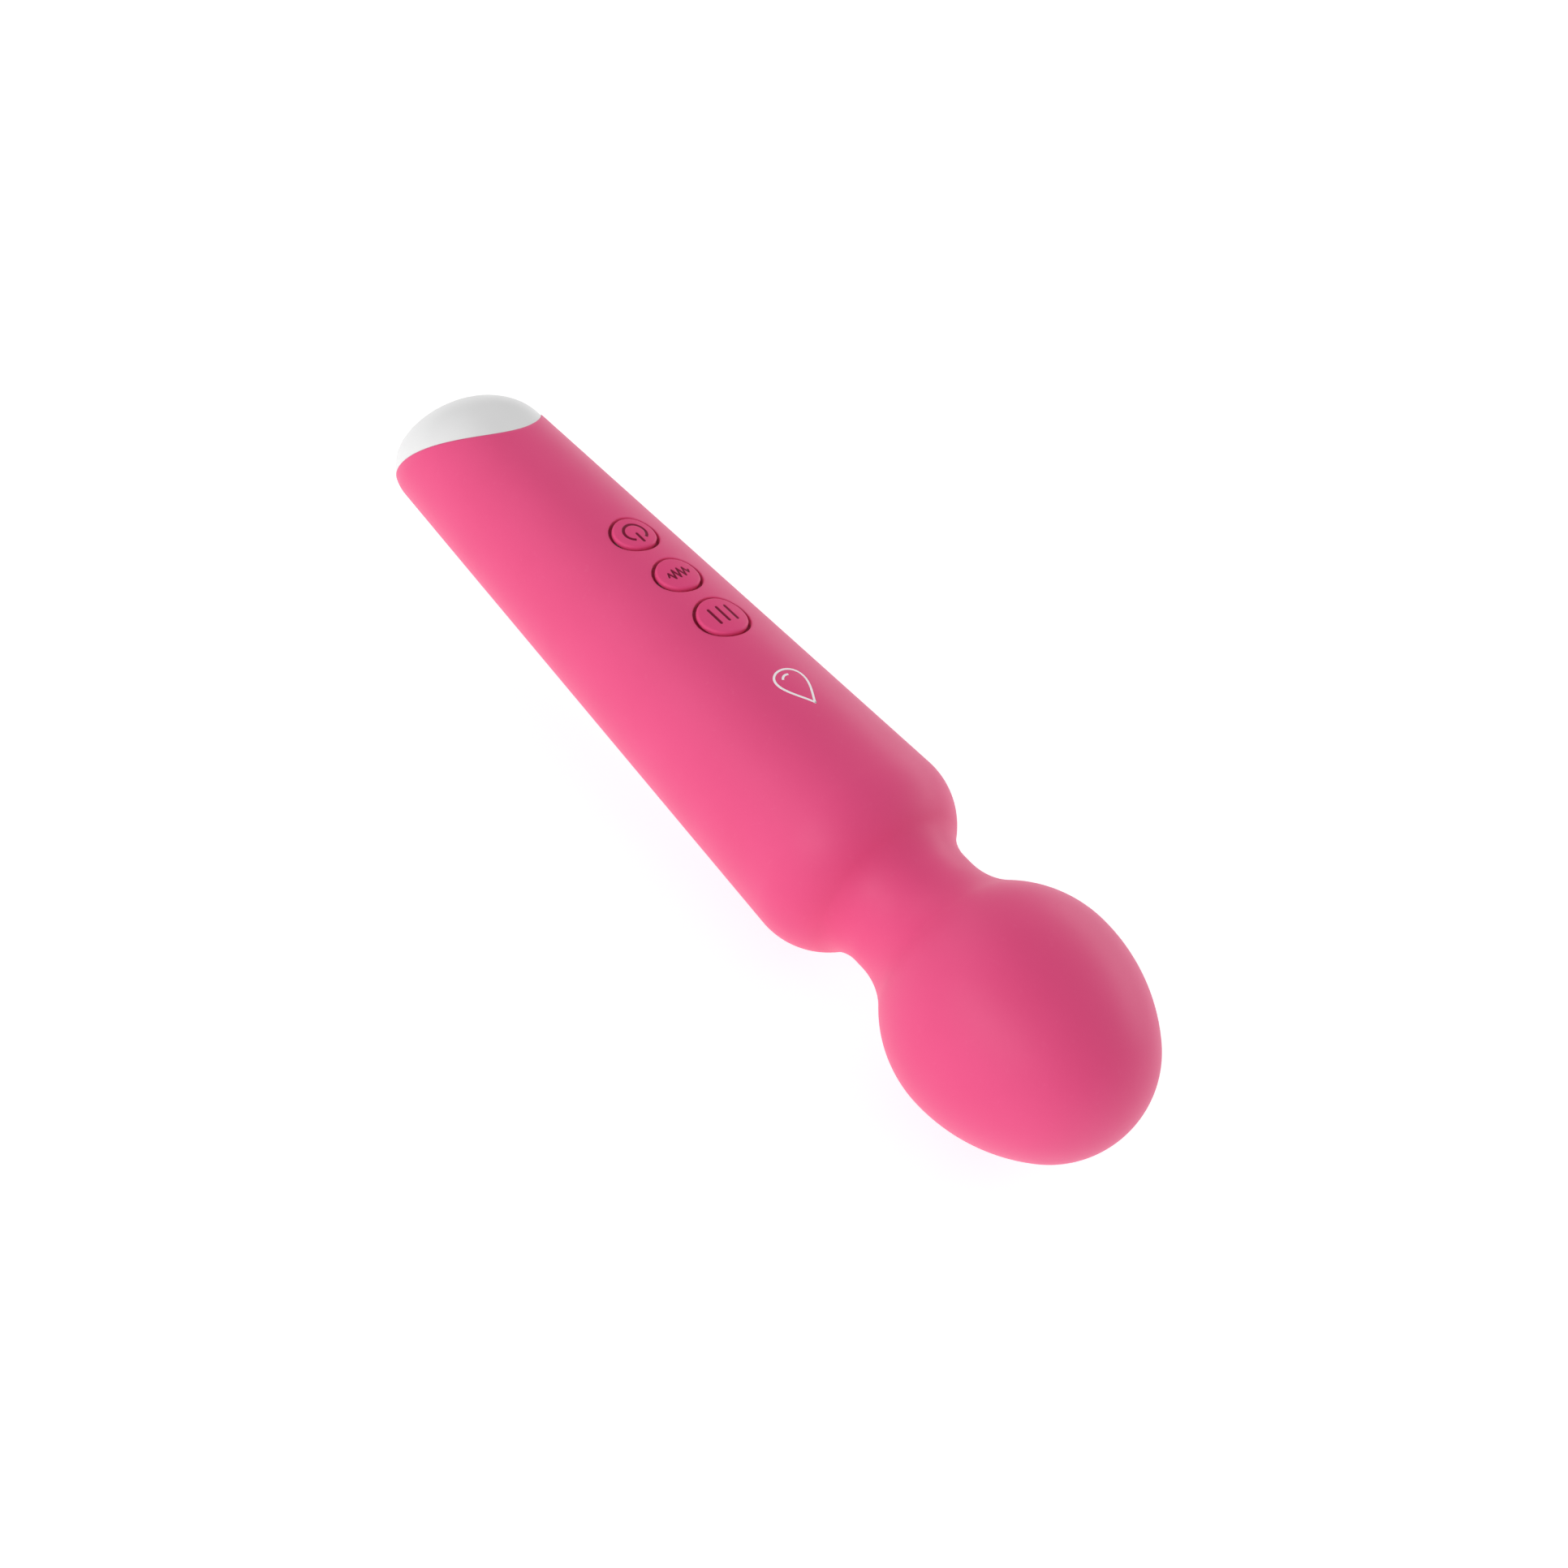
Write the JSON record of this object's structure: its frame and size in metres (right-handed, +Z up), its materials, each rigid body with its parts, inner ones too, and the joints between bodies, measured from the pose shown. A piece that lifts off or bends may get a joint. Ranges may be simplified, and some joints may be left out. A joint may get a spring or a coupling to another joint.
{
  "type": "handheld wand massager",
  "caption": "Cordless wand massager with a soft one-piece sleeve, rounded head on a flexible neck, push buttons along the front and a hard cap on its slanted tail.",
  "frame": {"origin": "middle of the wand's box, on the surface that it lies on", "axes": "+X along the wand from the tail to the head, +Z up on the button side, Y across the width"},
  "size_m": [0.1977, 0.0442, 0.0442],
  "materials": {
    "skin_silicone": "satin",
    "button_silicone": "satin",
    "cap_plastic": "gloss",
    "casing_plastic": "matte",
    "black_plastic": "matte",
    "key_plastic": "satin",
    "seal_rubber": "matte",
    "foam": "matte",
    "board_green": "satin",
    "components": "satin",
    "cell_wrap": "gloss",
    "nickel": "satin",
    "gold": "polished",
    "lead_red": "satin",
    "screw_steel": "satin",
    "steel": "satin",
    "magnet": "satin",
    "bronze": "satin",
    "copper": "satin",
    "weight_metal": "satin"
  },
  "bodies": {
    "handle": {"handle_skin": "skin_silicone", "front_casing": "casing_plastic", "rear_casing": "casing_plastic", "casing_screws": "screw_steel", "end_cap": "cap_plastic", "end_cap_seal": "seal_rubber", "charge_contacts": "gold", "charge_magnets": "magnet", "charge_board": "board_green", "charge_leads": "lead_red", "control_board": "board_green", "board_screws": "screw_steel", "control_chip": "black_plastic", "board_components": "components", "power_switch": "black_plastic", "pattern_switch": "black_plastic", "speed_switch": "black_plastic", "battery_cell": "cell_wrap", "battery_cradle": "casing_plastic", "battery_foam": "foam", "battery_tabs": "nickel", "battery_leads": "lead_red", "rear_collar": "steel"},
    "neck": {"neck_skin": "skin_silicone", "neck_core": "seal_rubber", "motor_leads": "lead_red"},
    "head": {"head_skin": "skin_silicone", "front_collar": "steel", "head_casing_front": "casing_plastic", "head_casing_rear": "casing_plastic", "head_screws": "screw_steel", "motor_sleeve": "seal_rubber", "motor_can": "steel", "motor_end_bell": "black_plastic", "motor_terminals": "nickel", "motor_bush_rear": "bronze", "motor_bush_front": "bronze", "motor_magnets": "magnet", "motor_brushes": "magnet"},
    "rotor": {"motor_shaft": "steel", "armature": "steel", "armature_windings": "copper", "commutator": "copper", "eccentric_weight": "weight_metal"},
    "power_button": {"power_button": "button_silicone", "power_button_key": "key_plastic", "power_switch_plunger": "key_plastic"},
    "pattern_button": {"pattern_button": "button_silicone", "pattern_button_key": "key_plastic", "pattern_switch_plunger": "key_plastic"},
    "speed_button": {"speed_button": "button_silicone", "speed_button_key": "key_plastic", "speed_switch_plunger": "key_plastic"}
  },
  "joints": [
    {"name": "neck_bend", "type": "hinge", "parent": "handle", "child": "neck", "pos_m": [0.0431, 0, 0.0221], "axis": [0, 1, 0], "range_deg": [-15, 15], "stiffness_Nm_per_rad": 2, "deforming": ["neck_skin", "neck_core", "motor_leads"]},
    {"name": "neck_sway", "type": "hinge", "parent": "neck", "child": "head", "pos_m": [0.0491, 0, 0.0221], "axis": [0, 0, 1], "range_deg": [-15, 15], "stiffness_Nm_per_rad": 2, "deforming": ["neck_skin", "neck_core", "motor_leads"]},
    {"name": "motor_spin", "type": "hinge", "parent": "head", "child": "rotor", "pos_m": [0.0711, 0, 0.0221], "axis": [1, 0, 0], "continuous": true},
    {"name": "power_press", "type": "slide", "parent": "handle", "child": "power_button", "axis": [0, 0, -1], "range_m": [0, 0.0004], "stiffness_N_per_m": 150},
    {"name": "pattern_press", "type": "slide", "parent": "handle", "child": "pattern_button", "axis": [0, 0, -1], "range_m": [0, 0.0004], "stiffness_N_per_m": 150},
    {"name": "speed_press", "type": "slide", "parent": "handle", "child": "speed_button", "axis": [0, 0, -1], "range_m": [0, 0.0004], "stiffness_N_per_m": 150}
  ]
}
